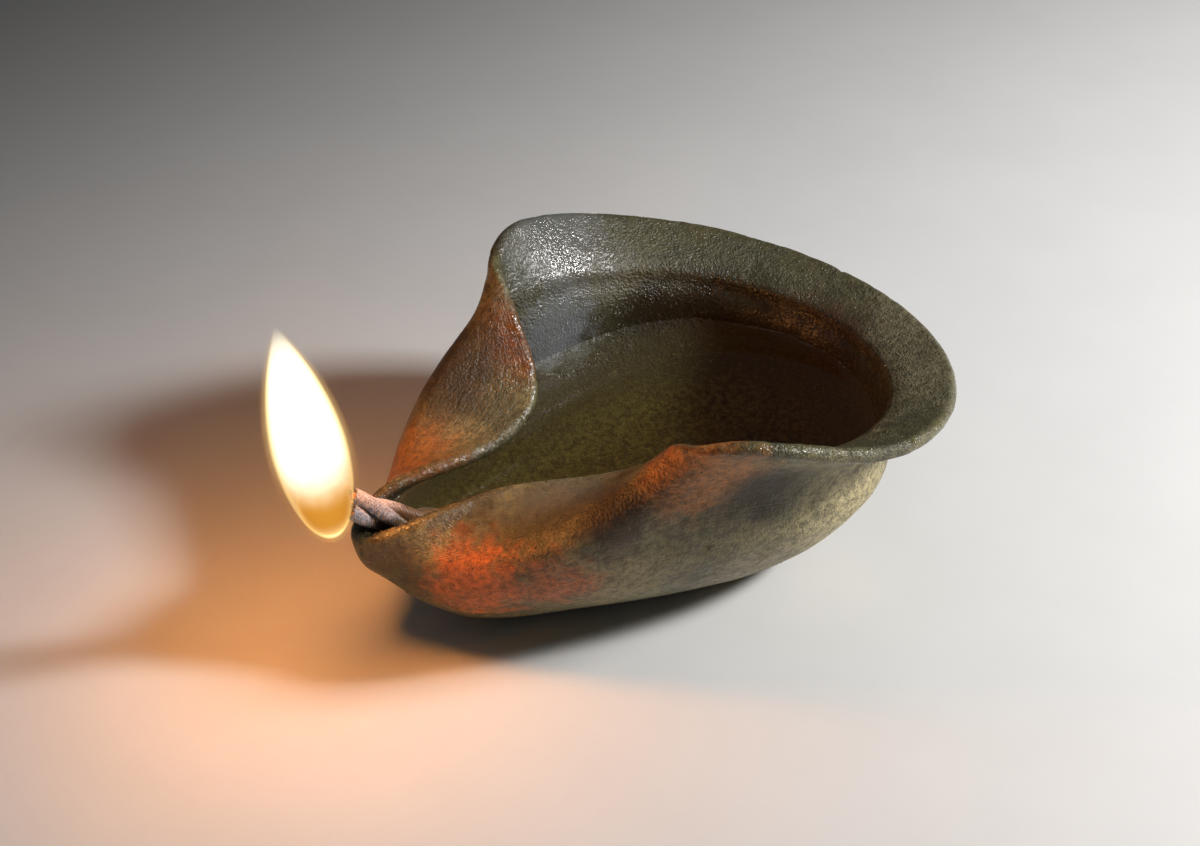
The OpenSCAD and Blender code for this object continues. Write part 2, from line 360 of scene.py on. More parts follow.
@dataclass(frozen=True)
class FiredClay:
    """Dark olive-grey fired clay, red in patches that are partly fire colour and partly painted flame light,
    glossy where oil has crept; with painted shade inside and painted light, shade and sheen in patches.
    """

    body: Colour = (0.170, 0.148, 0.066)
    pale: Colour = (0.370, 0.325, 0.155)
    dark: Colour = (0.034, 0.027, 0.013)
    # shaded is painted shade for the inside of the bowl, and shade says how much of it is painted.
    shaded: Colour = (0.034, 0.036, 0.020)
    speck: Colour = (0.30, 0.28, 0.18)
    soaked: Colour = (0.024, 0.017, 0.009)
    bed: Colour = (0.098, 0.090, 0.038)
    evenness: float = 0.55
    shade: float = 0.72
    mottling: float = 0.56
    wetting: float = 0.7
    creep: float = 12 * MM
    bump_depth: float = 0.4 * MM
    grain_waves: float = 1700
    turning_lines: float = 150
    oil_level: float = 0.027
    colour_and_painted_light_patches: tuple[Patch, ...] = (
        # Reddened patches on the far fold, the near corner and the spout: partly the clay's fire colour,
        # partly painted warm flame light on the sides that face the flame.
        Patch((-0.016, 0.024, 0.041), 0.010, (0.170, 0.055, 0.013)),
        Patch((-0.046, 0.014, 0.027), 0.013, (0.300, 0.125, 0.034), 0.8, 1.7),
        Patch((-0.011, -0.0385, 0.045), 0.012, (0.480, 0.185, 0.040), 0.9, 1.5),
        Patch((-0.018, -0.035, 0.043), 0.009, (0.400, 0.150, 0.034), 0.9, 1.5),
        Patch((-0.049, -0.017, 0.020), 0.0115, (0.600, 0.160, 0.042), 0.9, 2.2),
        Patch((-0.037, -0.026, 0.022), 0.009, (0.450, 0.130, 0.034), 0.85, 2.3),
        # Darker patches on the far fold and below the near rim.
        Patch((-0.030, 0.026, 0.039), 0.013, (0.046, 0.030, 0.014)),
        Patch((-0.027, -0.031, 0.037), 0.010, (0.052, 0.028, 0.012), 0.9, 1.5),
        Patch((0.001, -0.038, 0.037), 0.010, (0.040, 0.026, 0.014), 0.85, 1.5),
        # Painted light: paler tan patches on the near wall's lower right, its bottom and the right rim,
        # where the key light from the right falls.
        Patch((0.024, -0.034, 0.019), 0.019, (0.620, 0.520, 0.280), 0.8, 1.6),
        Patch((0.004, -0.034, 0.010), 0.015, (0.320, 0.260, 0.150), 0.7, 1.7),
        Patch((0.053, -0.014, 0.034), 0.028, (0.185, 0.168, 0.100), 0.85, 1.2),
        # Painted shade: near-black patches on the back inner wall below the ledge, where it lies in shadow.
        Patch((0.020, 0.034, 0.030), 0.008, (0.014, 0.012, 0.008), 0.9, 1.2),
        Patch((0.032, 0.029, 0.031), 0.008, (0.014, 0.012, 0.008), 0.9, 1.2),
        # Painted flame light: a reddish-brown patch on the right inner wall, which lies in shade and takes
        # only the flame's warm light.
        Patch((0.043, 0.006, 0.029), 0.013, (0.095, 0.034, 0.014), 0.8, 1.5),
    )
    oil_and_painted_sheen: tuple[Patch, ...] = (
        # Wet oil film on the back rim, the back inner wall and the near rim; their pale grey colour is
        # painted sheen.
        Patch((0.003, 0.042, 0.048), 0.017, (0.150, 0.155, 0.155), 0.6),
        Patch((-0.002, 0.0335, 0.032), 0.011, (0.190, 0.205, 0.220), 0.6, 1.6),
        Patch((-0.030, -0.016, 0.034), 0.011, (0.100, 0.092, 0.075), 0.6, 1.5),
        # Oil-darkened clay along the near lip, in the spout and by the far fold.
        Patch((-0.045, -0.007, 0.031), 0.009, (0.034, 0.022, 0.011), 0.6, 1.5),
        Patch((-0.057, 0.000, 0.029), 0.011, (0.034, 0.024, 0.012), 0.6, 1.5),
        Patch((-0.013, 0.028, 0.038), 0.006, (0.080, 0.050, 0.026), 0.6, 1.5),
    )

    def material(self, effects: Effects) -> Material:
        """Builds the clay's material.

        Args:
            effects: The shared node groups.

        Returns:
            The finished material.
        """
        material, sheet, skin = new_material("fired_clay")
        place = object_place(sheet)
        inside = mesh_value(sheet, "inside")
        profile = mesh_value(sheet, "profile")
        grain = sheet.group(effects.grain, Place=place, Waves=self.grain_waves)
        lines = sheet.group(effects.lines, Place=place, Profile=profile, Lines=self.turning_lines)
        tone = sheet.ease(grain.outputs["Tone"], 0.32, 0.68)
        colour = sheet.tint(tone, self.dark, self.pale)
        colour = sheet.tint(self.evenness, colour, self.body)
        # Painted shade: the inside of the bowl is darkened towards the shaded colour.
        colour = sheet.tint(sheet.times(inside, self.shade), colour, self.shaded)
        # Each patch tints the clay, some with its own colour and some with painted light or shade.
        for patch in self.colour_and_painted_light_patches:
            mask = patch.mask(sheet, effects, place)
            colour = sheet.tint(sheet.times(mask, patch.strength), colour, patch.colour)
        mottle = sheet.ease(sheet.noise(place, 700, 5, 0.75), 0.42, 0.60)
        colour = sheet.tint(sheet.times(mottle, self.mottling), colour, self.dark)
        creep = sheet.group(effects.wet, Place=place, Level=self.oil_level, Reach=self.creep).outputs["Mask"]
        height = sheet.rise(place)
        under = sheet.ease(height, self.oil_level + 0.8 * MM, self.oil_level - 0.5 * MM)
        drowned = sheet.times(under, inside)
        wet = sheet.times(creep, inside)
        colour = sheet.tint(sheet.times(wet, self.wetting), colour, self.soaked)
        smeared = sheet.ease(sheet.noise(place, 120, 3, 0.6), 0.35, 0.6)
        film = sheet.times(mesh_value(sheet, "lip"), smeared)
        # Oil patches darken the clay or paint a pale sheen on it, and make it glossy.
        for spot in self.oil_and_painted_sheen:
            mask = spot.mask(sheet, effects, place)
            colour = sheet.tint(sheet.times(mask, spot.strength), colour, spot.colour)
            film = sheet.calc("MAXIMUM", film, mask)
        silt = sheet.ease(sheet.noise(place, 800, 5, 0.75), 0.38, 0.66)
        floor = sheet.ease(height, 0.016, 0.006)
        bed = sheet.tint(silt, colour, self.bed)
        colour = sheet.tint(sheet.times(drowned, floor), colour, bed)
        colour = sheet.tint(sheet.times(grain.outputs["Speck"], 0.16), colour, self.speck)
        gloss = sheet.times(sheet.calc("MAXIMUM", wet, film), sheet.minus(1, drowned))
        rough = sheet.ease(sheet.noise(place, 220, 4, 0.6), 0.3, 0.7, 0.38, 0.60)
        rough = sheet.minus(rough, sheet.times(gloss, 0.30))
        rough = sheet.calc("MAXIMUM", rough, drowned)
        turning = sheet.fit(inside, -0.6, 0.8)
        relief = sheet.fit(lines.outputs["Height"], turning, grain.outputs["Height"])
        strength = sheet.fit(gloss, -0.45, 0.95)
        sheet.dress(skin, {
            "Base Color": colour, "Roughness": rough, "Specular IOR Level": 0.5,
            "Normal": sheet.bump(strength, self.bump_depth, relief),
        })
        return material


@dataclass(frozen=True)
class TemperGrit:
    """Grains of temper, from dark iron sand to pale quartz, dulled by clay in places."""

    iron: Colour = (0.030, 0.024, 0.016)
    quartz: Colour = (0.15, 0.13, 0.08)
    clay: Colour = (0.06, 0.05, 0.03)

    def material(self) -> Material:
        """Builds the grains' material."""
        material, sheet, skin = new_material("temper_grit")
        shade = mesh_value(sheet, "shade")
        mineral = sheet.tint(sheet.ease(shade, 0.55, 0.95), self.iron, self.quartz)
        mottle = sheet.ease(sheet.noise(object_place(sheet), 3000, 2, 0.5), 0.3, 0.8, 0, 0.4)
        sheet.dress(skin, {
            "Base Color": sheet.tint(mottle, mineral, self.clay),
            "Roughness": sheet.ease(shade, 0, 1, 0.5, 0.22),
        })
        return material


@dataclass(frozen=True)
class LampOil:
    """Clear olive-yellow oil that darkens with depth."""

    tint: Colour = (0.97, 0.95, 0.86)
    depth_colour: Colour = (0.74, 0.62, 0.18)
    depth_density: float = 60
    ior: float = 1.47

    def material(self) -> Material:
        """Builds the oil's material, with absorption in its volume."""
        material, sheet, skin = new_material("lamp_oil")
        place = object_place(sheet)
        ripple = sheet.noise(place, 60, 2, 0.5)
        bump = sheet.bump(0.05, 0.6 * MM, ripple)
        film = sheet.noise(place, 140, 3, 0.6)
        sheet.dress(skin, {
            "Base Color": self.tint, "Transmission Weight": 1.0, "IOR": self.ior,
            "Roughness": sheet.ease(film, 0.4, 0.8, 0.0, 0.05), "Normal": bump,
        })
        inputs = {"Color": self.depth_colour, "Density": self.depth_density}
        depth = sheet.put("ShaderNodeVolumeAbsorption", inputs)
        out = next(node for node in sheet.tree.nodes if node.type == "OUTPUT_MATERIAL")
        sheet.feed(out.inputs["Volume"], depth.outputs[0])
        return material


@dataclass(frozen=True)
class WickYarn:
    """Pale grey-mauve yarn, darker with oil towards the spout's floor."""

    pale: Colour = (0.42, 0.40, 0.44)
    groove: Colour = (0.13, 0.11, 0.12)
    soaked: Colour = (0.085, 0.055, 0.030)
    oil_level: float = 0.0295

    def material(self) -> Material:
        """Builds the yarn's material."""
        material, sheet, skin = new_material("wick_yarn")
        place = object_place(sheet)
        fibre = sheet.noise(place, 2400, 4, 0.7)
        colour = sheet.tint(sheet.ease(fibre, 0.35, 0.62), self.groove, self.pale)
        height = sheet.rise(place)
        level = sheet.fit(sheet.noise(place, 500, 3, 0.6), 0.002, self.oil_level)
        soak = sheet.ease(sheet.minus(height, level), 0.0015, -0.001)
        colour = sheet.tint(soak, colour, self.soaked)
        bump = sheet.bump(0.7, 0.1 * MM, fibre)
        sheet.dress(skin, {
            "Base Color": colour, "Roughness": sheet.fit(soak, -0.6, 0.85),
            "Normal": bump, "Sheen Weight": 0.25, "Sheen Roughness": 0.5,
        })
        return material


@dataclass(frozen=True)
class CharredYarn:
    """Burnt yarn that glows orange in its thinnest places."""

    char: Colour = (0.014, 0.009, 0.007)
    ash: Colour = (0.10, 0.055, 0.035)
    ember: Colour = (1.0, 0.20, 0.03)

    def material(self) -> Material:
        """Builds the char's material."""
        material, sheet, skin = new_material("charred_yarn")
        place = object_place(sheet)
        crust = sheet.noise(place, 1500, 5, 0.7)
        colour = sheet.tint(sheet.ease(crust, 0.4, 0.7), self.char, self.ash)
        thin = sheet.ease(sheet.noise(place, 700, 3, 0.6), 0.5, 0.68)
        glow = sheet.tint(thin, (0.0, 0.0, 0.0), self.ember)
        bump = sheet.bump(0.9, 0.2 * MM, crust)
        sheet.dress(skin, {
            "Base Color": colour, "Roughness": sheet.ease(crust, 0.3, 0.7, 0.6, 0.95),
            "Normal": bump, "Emission Color": glow, "Emission Strength": 0.9,
        })
        return material


@dataclass(frozen=True)
class FlameLight:
    """One luminous sheath of the flame: bright, softer at its edges, dim and clear around the wick's end."""

    name: str
    hot: Colour
    edge: Colour
    core: Colour
    strength: float
    core_full: float
    core_gone: float
    core_share: float
    edge_start: float
    edge_end: float
    solid: float

    def material(self) -> Material:
        """Builds the sheath's material from the mesh's rise, 0 at its foot and 1 at its tip."""
        material, sheet, skin = new_material(self.name)
        rise = mesh_value(sheet, "rise")
        facing = sheet.put("ShaderNodeLayerWeight", {"Blend": 0.5}).outputs["Facing"]
        body = sheet.ease(facing, self.edge_end, self.edge_start)
        place = object_place(sheet)
        waver = sheet.times(sheet.minus(sheet.noise(place, 160, 2, 0.5), 0.5), 0.1)
        climb = sheet.ease(sheet.calc("ADD", rise, waver), self.core_gone, self.core_full)
        dim = sheet.times(climb, sheet.ease(facing, 0.92, 0.50))
        dim = sheet.times(dim, sheet.ease(rise, 0.0, 0.15))
        clear = sheet.fit(dim, self.core_share - 1, 1.0)
        tip = sheet.ease(rise, 1.0, 0.72)
        alpha = sheet.times(sheet.times(body, clear), tip)
        heat = sheet.times(sheet.ease(facing, 0.9, 0.45), sheet.ease(rise, 0.05, 0.4, 0.35, 1))
        glow = sheet.tint(dim, sheet.tint(heat, self.edge, self.hot), self.core)
        sheet.dress(skin, {
            "Base Color": (0.0, 0.0, 0.0), "Roughness": 1.0, "Specular IOR Level": 0.0,
            "Emission Color": glow, "Emission Strength": self.strength,
            "Alpha": sheet.times(alpha, self.solid),
        })
        material.cycles.emission_sampling = "NONE"
        return material


MANTLE = FlameLight(
    "flame_mantle", hot=(1.0, 0.90, 0.70), edge=(1.0, 0.66, 0.18), core=(0.50, 0.24, 0.03), strength=1.9,
    core_full=0.20, core_gone=0.44, core_share=0.5, edge_start=0.30, edge_end=1.0, solid=1.0,
)
GLOW = FlameLight(
    "flame_glow", hot=(1.0, 0.74, 0.32), edge=(1.0, 0.50, 0.12), core=(0.8, 0.35, 0.05), strength=1.2,
    core_full=0.20, core_gone=0.44, core_share=0.2, edge_start=0.15, edge_end=1.0, solid=0.28,
)
HEART = FlameLight(
    "flame_heart", hot=(0.62, 0.21, 0.015), edge=(0.95, 0.50, 0.08), core=(0.50, 0.15, 0.01), strength=1.0,
    core_full=0.45, core_gone=0.80, core_share=1.0, edge_start=0.55, edge_end=1.0, solid=0.95,
)


@dataclass(frozen=True)
class TableTop:
    """Pale table surface, darkened further back by painted shade that stands in for the light falling off.
    """

    colour: Colour = (0.765, 0.765, 0.765)
    far_painted_shade: Colour = (0.16, 0.16, 0.16)
    away: tuple[float, float, float] = (-0.23, 0.97, 0.0)
    fade_start: float = 0.02
    fade_end: float = 0.34

    def material(self) -> Material:
        """Builds the table's matt material, with its painted falloff shade."""
        material, sheet, skin = new_material("table_top")
        place = object_place(sheet)
        mottle = sheet.ease(sheet.noise(place, 30, 4, 0.6), 0.3, 0.7)
        paper = sheet.tint(mottle, self.colour, tuple(0.97 * c for c in self.colour))
        away = sheet.put("ShaderNodeVectorMath", {0: place, 1: self.away}, operation="DOT_PRODUCT")
        # Painted shade: the table darkens towards its far side, a little to the left.
        fade = sheet.ease(away.outputs["Value"], self.fade_start, self.fade_end)
        colour = sheet.tint(fade, paper, self.far_painted_shade)
        sheet.dress(skin, {"Base Color": colour, "Roughness": 0.7, "Specular IOR Level": 0.2})
        return material


# ---- mesh building


def mesh_object(
    name: str, points: np.ndarray, faces: list, values: dict[str, np.ndarray] | None = None
) -> Object:
    """Makes a smooth-shaded mesh object at the origin.

    Args:
        name: Name of the object.
        points: Array of points, in metres.
        faces: Lists of point numbers, outward faces counter-clockwise.
        values: Numbers to keep on the points, by name.

    Returns:
        The new object, linked to the scene.
    """
    mesh = bpy.data.meshes.new(name)
    mesh.from_pydata([tuple(p) for p in np.asarray(points).reshape(-1, 3)], [], faces)
    mesh.update()
    for label, numbers in (values or {}).items():
        layer = mesh.attributes.new(label, "FLOAT", "POINT")
        layer.data.foreach_set("value", np.asarray(numbers, np.float32).ravel())
    mesh.shade_smooth()
    thing = bpy.data.objects.new(name, mesh)
    bpy.context.scene.collection.objects.link(thing)
    return thing


def tube_faces(rows: int, columns: int) -> list[tuple[int, ...]]:
    """Returns the faces of a closed skin: one pole, rows of columns points, and one more pole."""
    last = rows * columns + 1
    around = [(c, (c + 1) % columns) for c in range(columns)]
    bottom = [(0, 1 + b, 1 + a) for a, b in around]
    sides = [
        (1 + r * columns + a, 1 + r * columns + b, 1 + (r + 1) * columns + b, 1 + (r + 1) * columns + a)
        for r in range(rows - 1)
        for a, b in around
    ]
    top = 1 + (rows - 1) * columns
    return bottom + sides + [(last, top + a, top + b) for a, b in around]


def settled(thing: Object, tree: NodeTree, **inputs: Value) -> Object:
    """Runs a geometry tree on an object once and keeps the result as its plain mesh.

    Args:
        thing: The object that gets the result.
        tree: The geometry node tree.
        inputs: The tree's inputs, with underscores for the spaces in their names.

    Returns:
        The same object.
    """
    modifier = thing.modifiers.new(tree.name, "NODES")
    modifier.node_group = tree
    for item in tree.interface.items_tree:
        key = item.name.replace(" ", "_")
        if item.in_out == "INPUT" and key in inputs:
            modifier[item.identifier] = inputs[key]
    graph = bpy.context.evaluated_depsgraph_get()
    mesh = bpy.data.meshes.new_from_object(
        thing.evaluated_get(graph), preserve_all_data_layers=True, depsgraph=graph
    )
    thing.modifiers.clear()
    thing.data = mesh
    mesh.name = thing.name
    return thing


# ---- geometry trees


def finish_tree(sheet: NodeSheet, finish: NodeSocket, shape: NodeSocket) -> NodeTree:
    """Ends a geometry tree in Realize Instances and Set Material."""
    whole = sheet.put("GeometryNodeRealizeInstances", {0: shape}).outputs[0]
    dressed = sheet.put("GeometryNodeSetMaterial", {"Geometry": whole, "Material": finish})
    sheet.put("NodeGroupOutput", {0: dressed.outputs[0]})
    return sheet.tree


def worked_clay_tree() -> NodeTree:
    """Returns the tree that gives a clay skin its lumps, throwing rings, pits and worn lip."""
    sheet, given = open_tree(
        "worked_clay", "GeometryNodeTree",
        {
            "Geometry": Kind.SHAPE, "Lump Depth": Kind.NUMBER, "Lump Waves": Kind.NUMBER,
            "Ring Depth": Kind.NUMBER, "Rings": Kind.NUMBER, "Pit Depth": Kind.NUMBER,
            "Pit Waves": Kind.NUMBER, "Chip Depth": Kind.NUMBER, "Material": Kind.FINISH,
        },
        {"Geometry": Kind.SHAPE},
    )
    place = sheet.put("GeometryNodeInputPosition").outputs[0]
    normal = sheet.put("GeometryNodeInputNormal").outputs[0]
    lump = sheet.minus(sheet.noise(place, given["Lump Waves"], 3, 0.5), 0.5)
    height = sheet.times(lump, given["Lump Depth"])
    along = sheet.times(sheet.kept("profile"), given["Rings"])
    spot = sheet.put("ShaderNodeCombineXYZ", {0: along})
    turned = sheet.noise(sheet.arrow("ADD", spot.outputs[0], sheet.scaled(place, 14)), 1, 2, 0.5)
    ring = sheet.times(sheet.minus(turned, 0.5), given["Ring Depth"])
    height = sheet.fit(ring, sheet.kept("thrown"), height)
    cells = sheet.put("ShaderNodeTexVoronoi", {"Vector": place, "Scale": given["Pit Waves"]})
    rare = sheet.put("FunctionNodeSeparateColor", {0: cells.outputs["Color"]}).outputs[0]
    pit = sheet.times(sheet.ease(cells.outputs["Distance"], 0.3, 0.08), sheet.ease(rare, 0.80, 0.86))
    height = sheet.minus(height, sheet.times(pit, given["Pit Depth"]))
    worn = sheet.ease(sheet.noise(place, 300, 3, 0.6), 0.46, 0.74)
    chip = sheet.times(sheet.times(worn, sheet.kept("lip")), given["Chip Depth"])
    height = sheet.minus(height, chip)
    height = sheet.times(height, sheet.ease(sheet.rise(place), 0.0, 4 * MM))
    offset = sheet.scaled(normal, height)
    moved = sheet.put("GeometryNodeSetPosition", {"Geometry": given["Geometry"], "Offset": offset})
    return finish_tree(sheet, given["Material"], moved.outputs[0])


def temper_grit_tree() -> NodeTree:
    """Returns the tree that sets small grains of temper in a skin, half sunk in it."""
    sheet, given = open_tree(
        "temper_grit", "GeometryNodeTree",
        {
            "Geometry": Kind.SHAPE, "Grains for each Square Metre": Kind.NUMBER, "Smallest": Kind.NUMBER,
            "Largest": Kind.NUMBER, "Seed": Kind.WHOLE, "Material": Kind.FINISH,
        },
        {"Geometry": Kind.SHAPE},
    )
    spread = sheet.put(
        "GeometryNodeDistributePointsOnFaces",
        {"Mesh": given["Geometry"], "Density": given["Grains for each Square Metre"],
         "Seed": given["Seed"]},
    )
    grain = sheet.put("GeometryNodeMeshIcoSphere", {"Radius": 1.0, "Subdivisions": 1})
    size = sheet.chance(given["Smallest"], given["Largest"], 3)
    scale = sheet.scaled(sheet.chances((0.7, 0.7, 0.5), (1.3, 1.3, 0.9), 4), size)
    grains = sheet.put(
        "GeometryNodeInstanceOnPoints",
        {"Points": spread.outputs["Points"], "Instance": grain.outputs[0],
         "Rotation": spread.outputs["Rotation"], "Scale": scale},
    )
    marked = sheet.marked(grains.outputs[0], "shade", sheet.chance(0.0, 1.0, 5))
    return finish_tree(sheet, given["Material"], marked)


def twisted_ply_tree() -> NodeTree:
    """Returns the tree that lays strands round a ply, and winds the ply round the wick's axis.

    The wick's axis is local +Z. Loose hairs stand off the strands.
    """
    sheet, take = open_tree(
        "twisted_ply", "GeometryNodeTree",
        {
            "Geometry": Kind.SHAPE, "Start": Kind.NUMBER, "Length": Kind.NUMBER, "Pitch": Kind.NUMBER,
            "Winding Radius": Kind.NUMBER, "Ply Radius": Kind.NUMBER, "Phase": Kind.NUMBER,
            "Strands": Kind.WHOLE, "Steps": Kind.WHOLE, "Strand Pitch": Kind.NUMBER, "Taper": Kind.NUMBER,
            "Fray": Kind.NUMBER, "Hairs for each Square Metre": Kind.NUMBER, "Hair Length": Kind.NUMBER,
            "Seed": Kind.WHOLE, "Material": Kind.FINISH,
        },
        {"Geometry": Kind.SHAPE},
    )
    def wave(turns: NodeSocket, radius: NodeSocket) -> NodeSocket:
        """Returns the point of a circle after a number of turns."""
        angle = sheet.times(turns, TURN)
        x = sheet.times(sheet.calc("COSINE", angle), radius)
        y = sheet.times(sheet.calc("SINE", angle), radius)
        return sheet.put("ShaderNodeCombineXYZ", {0: x, 1: y}).outputs[0]

    starts = sheet.put("GeometryNodeMeshLine", {"Count": take["Strands"], "Offset": (0.0, 0.0, 0.0)})
    line = sheet.put("GeometryNodeCurvePrimitiveLine", {"End": (0.0, 0.0, 1.0)})
    fine = sheet.put("GeometryNodeResampleCurve", {"Curve": line.outputs[0], "Count": take["Steps"]})
    inputs = {"Points": starts.outputs[0], "Instance": fine.outputs[0]}
    laid = sheet.put("GeometryNodeInstanceOnPoints", inputs)
    number = sheet.put("GeometryNodeInputIndex").outputs[0]
    marked = sheet.marked(laid.outputs[0], "strand", number)
    strands = sheet.put("GeometryNodeRealizeInstances", {0: marked}).outputs[0]
    share = sheet.put("GeometryNodeSplineParameter").outputs["Factor"]
    strand = sheet.kept("strand")
    z = sheet.fit(share, take["Length"], take["Start"])
    thin = sheet.minus(1, sheet.times(share, take["Taper"]))
    half = sheet.calc("SINE", sheet.calc("DIVIDE", math.pi, take["Strands"]))
    widened = sheet.calc("ADD", 1, half)
    strand_radius = sheet.calc("DIVIDE", sheet.times(take["Ply Radius"], half), widened)
    reach = sheet.minus(take["Ply Radius"], strand_radius)
    turns = sheet.calc("ADD", sheet.calc("DIVIDE", z, take["Pitch"]), take["Phase"])
    around_ply = sheet.calc("DIVIDE", strand, take["Strands"])
    inner = sheet.calc("ADD", around_ply, sheet.calc("DIVIDE", z, take["Strand Pitch"]))
    middle = wave(turns, sheet.times(take["Winding Radius"], thin))
    around = wave(inner, sheet.times(reach, thin))
    height = sheet.put("ShaderNodeCombineXYZ", {2: z}).outputs[0]
    spot = sheet.put("ShaderNodeCombineXYZ", {0: sheet.times(z, 900), 1: sheet.times(strand, 7.3)})
    cloud = sheet.put("ShaderNodeTexNoise", {"Vector": spot.outputs[0], "Scale": 1.0, "Detail": 1.0})
    stray = cloud.outputs["Color"]
    stray = sheet.scaled(sheet.arrow("SUBTRACT", stray, (0.5, 0.5, 0.5)), take["Fray"])
    where = sheet.arrow("ADD", sheet.arrow("ADD", middle, around), sheet.arrow("ADD", height, stray))
    placed = sheet.put("GeometryNodeSetPosition", {"Geometry": strands, "Position": where})
    rim = sheet.put("GeometryNodeCurvePrimitiveCircle", {"Resolution": 7, "Radius": 1.0})
    radius = sheet.times(strand_radius, thin)
    sized = sheet.put("GeometryNodeSetCurveRadius", {"Curve": placed.outputs[0], "Radius": radius})
    skin = sheet.put(
        "GeometryNodeCurveToMesh",
        {"Curve": sized.outputs[0], "Profile Curve": rim.outputs[0], "Scale": radius, "Fill Caps": True},
    )
    roots = sheet.put(
        "GeometryNodeDistributePointsOnFaces",
        {"Mesh": skin.outputs[0], "Density": take["Hairs for each Square Metre"], "Seed": take["Seed"]},
    )
    hair = sheet.put(
        "GeometryNodeMeshCone",
        {"Vertices": 4, "Side Segments": 3, "Radius Top": 0.004, "Radius Bottom": 0.02, "Depth": 1.0},
    )
    tilt = sheet.chances((-1.25, -1.25, 0.0), (1.25, 1.25, TURN), 6)
    turned = sheet.put(
        "FunctionNodeRotateRotation", {0: roots.outputs["Rotation"], 1: tilt}, rotation_space="LOCAL"
    )
    hairs = sheet.put(
        "GeometryNodeInstanceOnPoints",
        {"Points": roots.outputs["Points"], "Instance": hair.outputs[0], "Rotation": turned.outputs[0],
         "Scale": sheet.times(sheet.chance(0.4, 1.0, 8), take["Hair Length"])},
    )
    both = sheet.put("GeometryNodeJoinGeometry")
    for part in (hairs.outputs[0], skin.outputs[0]):
        sheet.tree.links.new(part, both.inputs[0])
    return finish_tree(sheet, take["Material"], both.outputs[0])


# ---- the bowl


